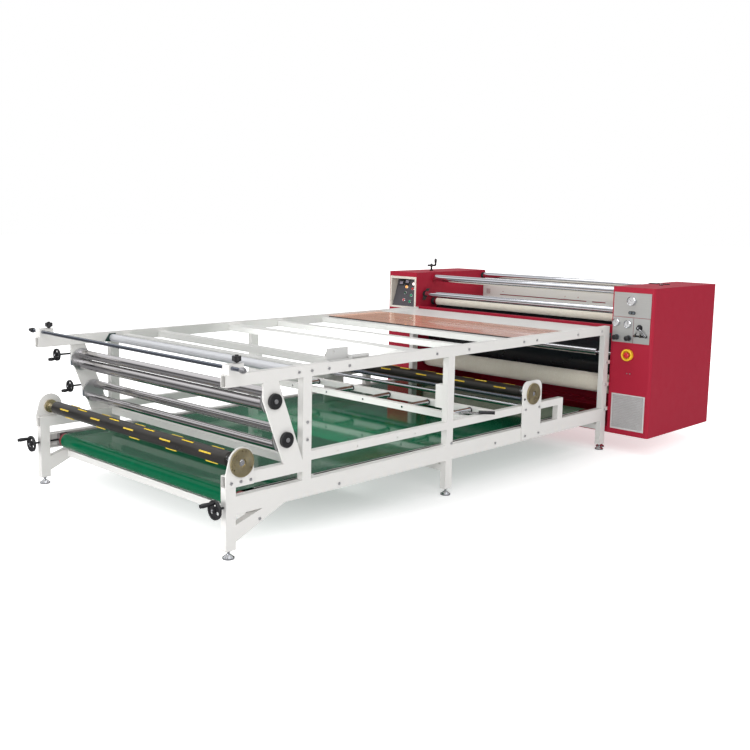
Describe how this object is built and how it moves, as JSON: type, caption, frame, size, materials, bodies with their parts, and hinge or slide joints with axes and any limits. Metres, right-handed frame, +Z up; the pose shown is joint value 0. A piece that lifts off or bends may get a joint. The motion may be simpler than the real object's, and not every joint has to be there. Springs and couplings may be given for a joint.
{
  "type": "rotary heat press",
  "caption": "Roll-to-roll rotary heat press: heated drum with endless felt between two cabinets, and a long open table with air shafts, tension bars and a take-up belt.",
  "frame": {"origin": "on the floor, at the centre of the machine's footprint", "axes": "+Z up; +Y along the machine from the winding end of the table to the press; +X to the side with the instruments"},
  "size_m": [2.5, 4.556, 1.292],
  "materials": {
    "white_paint": "semi-gloss",
    "red_paint": "semi-gloss",
    "grey_panel": "satin",
    "steel": "satin",
    "zinc": "zinc plated",
    "chrome": "polished",
    "dark_shaft": "hard anodised",
    "black_plastic": "matt",
    "yellow_key": "gloss",
    "belt_green": "smooth",
    "roller_red": "smooth",
    "copper_panel": "mirror gloss",
    "felt": "needled felt",
    "drum_black": "non-stick coating",
    "aluminium": "anodised",
    "cast_blue_grey": "painted",
    "red_plastic": "gloss",
    "green_plastic": "gloss",
    "grille": "matt"
  },
  "bodies": {
    "machine": {"side_frame_left": "white_paint", "side_frame_right": "white_paint", "top_cross_bars": "white_paint", "lower_cross_beams": "white_paint", "slide_panel": "copper_panel", "bearing_plates": "white_paint", "shaft_bearings": "zinc", "levelling_feet": "chrome", "frame_bolts": "zinc", "rod_blocks": "white_paint", "conveyor_belt": "belt_green", "slide_bars": "chrome", "edge_guide_bracket": "steel", "worm_gearboxes": "steel", "press_frame": "red_paint", "left_cabinet": "red_paint", "right_cabinet": "red_paint", "rear_slotted_panel": "white_paint", "heating_element": "steel", "felt_blanket": "felt", "drive_gearmotor": "cast_blue_grey", "control_console": "grey_panel", "instrument_panel": "grey_panel", "louvre_grille": "grille"},
    "front_shaft": {"front_air_shaft": "dark_shaft", "front_shaft_keys": "yellow_key"},
    "rear_shaft": {"rear_air_shaft": "dark_shaft", "rear_shaft_keys": "yellow_key"},
    "upper_tension": {"upper_tension_bars": "chrome"},
    "lower_tension": {"lower_tension_bars": "chrome"},
    "upper_wheel": {"upper_handwheel": "black_plastic"},
    "lower_wheel": {"lower_handwheel": "black_plastic"},
    "rod": {"guide_rod": "chrome"},
    "left_knob": {"left_rod_knob": "black_plastic"},
    "right_knob": {"right_rod_knob": "black_plastic"},
    "front_roller": {"top_front_roller": "aluminium"},
    "rear_roller": {"rear_guide_roller": "aluminium"},
    "takeup": {"takeup_blocks": "steel"},
    "belt_front": {"belt_front_roller": "roller_red"},
    "belt_rear": {"belt_rear_roller": "roller_red"},
    "left_takeup_wheel": {"left_takeup_handwheel": "black_plastic"},
    "right_takeup_wheel": {"right_takeup_handwheel": "black_plastic"},
    "lever": {"clamp_lever": "black_plastic"},
    "drum": {"heated_drum": "drum_black"},
    "lower_felt": {"lower_felt_roller": "steel"},
    "upper_felt": {"upper_felt_roller": "chrome"},
    "rear_top_felt": {"rear_top_felt_roller": "steel"},
    "rear_bottom_felt": {"rear_bottom_felt_roller": "steel"},
    "upper_guide": {"upper_guide_roller": "chrome"},
    "feed_guide": {"feed_guide_roller": "chrome"},
    "outfeed_guide": {"outfeed_guide_roller": "chrome"},
    "inner_guide": {"inner_guide_roller": "chrome"},
    "stop": {"stop_button": "red_plastic"},
    "start": {"start_button": "green_plastic"},
    "feed": {"feed_button": "green_plastic"},
    "valve": {"valve_lever": "steel"},
    "estop": {"estop_button": "red_plastic"},
    "left_regulator": {"left_regulator_knob": "black_plastic"},
    "right_regulator": {"right_regulator_knob": "black_plastic"},
    "top_wheel": {"top_handwheel": "black_plastic"}
  },
  "joints": [
    {"name": "front_shaft_turn", "type": "hinge", "parent": "machine", "child": "front_shaft", "pos_m": [0, -2.052, 0.47], "axis": [1, 0, 0], "continuous": true},
    {"name": "rear_shaft_turn", "type": "hinge", "parent": "machine", "child": "rear_shaft", "pos_m": [0, 0.37, 0.52], "axis": [1, 0, 0], "continuous": true},
    {"name": "upper_tension_turn", "type": "hinge", "parent": "machine", "child": "upper_tension", "pos_m": [0, -1.844, 0.742], "axis": [1, 0, 0], "range_deg": [-90, 90]},
    {"name": "lower_tension_turn", "type": "hinge", "parent": "machine", "child": "lower_tension", "pos_m": [0, -1.766, 0.538], "axis": [1, 0, 0], "range_deg": [-90, 90]},
    {"name": "upper_handwheel_turn", "type": "hinge", "parent": "machine", "child": "upper_wheel", "pos_m": [-0.945, -1.984, 0.778], "axis": [0, 1, 0], "range_deg": [-2720, 2720]},
    {"name": "lower_handwheel_turn", "type": "hinge", "parent": "machine", "child": "lower_wheel", "pos_m": [-0.945, -1.901, 0.574], "axis": [0, 1, 0], "range_deg": [-2720, 2720]},
    {"name": "rod_slide", "type": "slide", "parent": "machine", "child": "rod", "axis": [1, 0, 0], "range_m": [-0.06, 0.06]},
    {"name": "left_rod_knob_turn", "type": "hinge", "parent": "machine", "child": "left_knob", "pos_m": [-0.905, -2.06, 0.96], "axis": [0, 0, 1], "range_deg": [-180, 180]},
    {"name": "right_rod_knob_turn", "type": "hinge", "parent": "machine", "child": "right_knob", "pos_m": [0.905, -2.06, 0.96], "axis": [0, 0, 1], "range_deg": [-180, 180]},
    {"name": "top_front_roller_turn", "type": "hinge", "parent": "machine", "child": "front_roller", "pos_m": [0, -1.64, 0.863], "axis": [1, 0, 0], "continuous": true},
    {"name": "rear_guide_roller_turn", "type": "hinge", "parent": "machine", "child": "rear_roller", "pos_m": [0, 0.28, 0.492], "axis": [1, 0, 0], "continuous": true},
    {"name": "takeup_slide", "type": "slide", "parent": "machine", "child": "takeup", "axis": [0, 1, 0], "range_m": [0, 0.02]},
    {"name": "belt_rear_turn", "type": "hinge", "parent": "machine", "child": "belt_rear", "pos_m": [0, 1.16, 0.258], "axis": [1, 0, 0], "continuous": true},
    {"name": "belt_front_turn", "type": "hinge", "parent": "takeup", "child": "belt_front", "pos_m": [0, -1.99, 0.258], "axis": [1, 0, 0], "continuous": true},
    {"name": "left_takeup_turn", "type": "hinge", "parent": "machine", "child": "left_takeup_wheel", "pos_m": [-0.905, -2.14, 0.258], "axis": [0, 1, 0], "range_deg": [0, 1800]},
    {"name": "right_takeup_turn", "type": "hinge", "parent": "machine", "child": "right_takeup_wheel", "pos_m": [0.905, -2.14, 0.258], "axis": [0, 1, 0], "range_deg": [0, 1800]},
    {"name": "clamp_lever_turn", "type": "hinge", "parent": "machine", "child": "lever", "pos_m": [0.825, -0.238, 0.459], "axis": [0, 0, 1], "range_deg": [-30, 90]},
    {"name": "drum_turn", "type": "hinge", "parent": "machine", "child": "drum", "pos_m": [0, 1.72, 0.69], "axis": [1, 0, 0], "continuous": true},
    {"name": "lower_felt_turn", "type": "hinge", "parent": "machine", "child": "lower_felt", "pos_m": [0, 1.46, 0.455], "axis": [1, 0, 0], "continuous": true},
    {"name": "upper_felt_turn", "type": "hinge", "parent": "machine", "child": "upper_felt", "pos_m": [0, 1.55, 0.938], "axis": [1, 0, 0], "continuous": true},
    {"name": "rear_top_felt_turn", "type": "hinge", "parent": "machine", "child": "rear_top_felt", "pos_m": [0, 2.11, 0.905], "axis": [1, 0, 0], "continuous": true},
    {"name": "rear_bottom_felt_turn", "type": "hinge", "parent": "machine", "child": "rear_bottom_felt", "pos_m": [0, 2.12, 0.3], "axis": [1, 0, 0], "continuous": true},
    {"name": "upper_guide_turn", "type": "hinge", "parent": "machine", "child": "upper_guide", "pos_m": [0, 2.24, 1.139], "axis": [1, 0, 0], "continuous": true},
    {"name": "feed_guide_turn", "type": "hinge", "parent": "machine", "child": "feed_guide", "pos_m": [0, 1.554, 1.135], "axis": [1, 0, 0], "continuous": true},
    {"name": "outfeed_guide_turn", "type": "hinge", "parent": "machine", "child": "outfeed_guide", "pos_m": [0, 1.435, 1.003], "axis": [1, 0, 0], "continuous": true},
    {"name": "inner_guide_turn", "type": "hinge", "parent": "machine", "child": "inner_guide", "pos_m": [0, 1.4, 0.69], "axis": [1, 0, 0], "continuous": true},
    {"name": "stop_button_press", "type": "slide", "parent": "machine", "child": "stop", "axis": [0, 0.9475, -0.3199], "range_m": [0, 0.003]},
    {"name": "start_button_press", "type": "slide", "parent": "machine", "child": "start", "axis": [0, 0.9475, -0.3199], "range_m": [0, 0.003]},
    {"name": "feed_button_press", "type": "slide", "parent": "machine", "child": "feed", "axis": [0, 0.9475, -0.3199], "range_m": [0, 0.003]},
    {"name": "valve_lever_turn", "type": "hinge", "parent": "machine", "child": "valve", "pos_m": [1.149, 1.33, 0.905], "axis": [0, 1, 0], "range_deg": [0, 90]},
    {"name": "estop_press", "type": "slide", "parent": "machine", "child": "estop", "axis": [0, 1, 0], "range_m": [0, 0.006]},
    {"name": "left_regulator_turn", "type": "hinge", "parent": "machine", "child": "left_regulator", "pos_m": [0.974, 1.33, 0.826], "axis": [0, 1, 0], "range_deg": [-360, 360]},
    {"name": "right_regulator_turn", "type": "hinge", "parent": "machine", "child": "right_regulator", "pos_m": [1.069, 1.33, 0.826], "axis": [0, 1, 0], "range_deg": [-360, 360]},
    {"name": "top_handwheel_turn", "type": "hinge", "parent": "machine", "child": "top_wheel", "pos_m": [-1.09, 1.706, 1.226], "axis": [0, 0, 1], "range_deg": [-720, 720]}
  ],
  "couplings": [
    {"joint": "upper_handwheel_turn", "follows": "upper_tension_turn", "ratio": 30},
    {"joint": "lower_handwheel_turn", "follows": "lower_tension_turn", "ratio": 30},
    {"joint": "left_takeup_turn", "follows": "takeup_slide", "rad_per_m": 1570},
    {"joint": "right_takeup_turn", "follows": "takeup_slide", "rad_per_m": 1570},
    {"joint": "belt_front_turn", "follows": "belt_rear_turn", "ratio": 1},
    {"joint": "lower_felt_turn", "follows": "drum_turn", "ratio": -3.955},
    {"joint": "upper_felt_turn", "follows": "drum_turn", "ratio": -9.669},
    {"joint": "rear_top_felt_turn", "follows": "drum_turn", "ratio": -5.74},
    {"joint": "rear_bottom_felt_turn", "follows": "drum_turn", "ratio": -5.74}
  ]
}
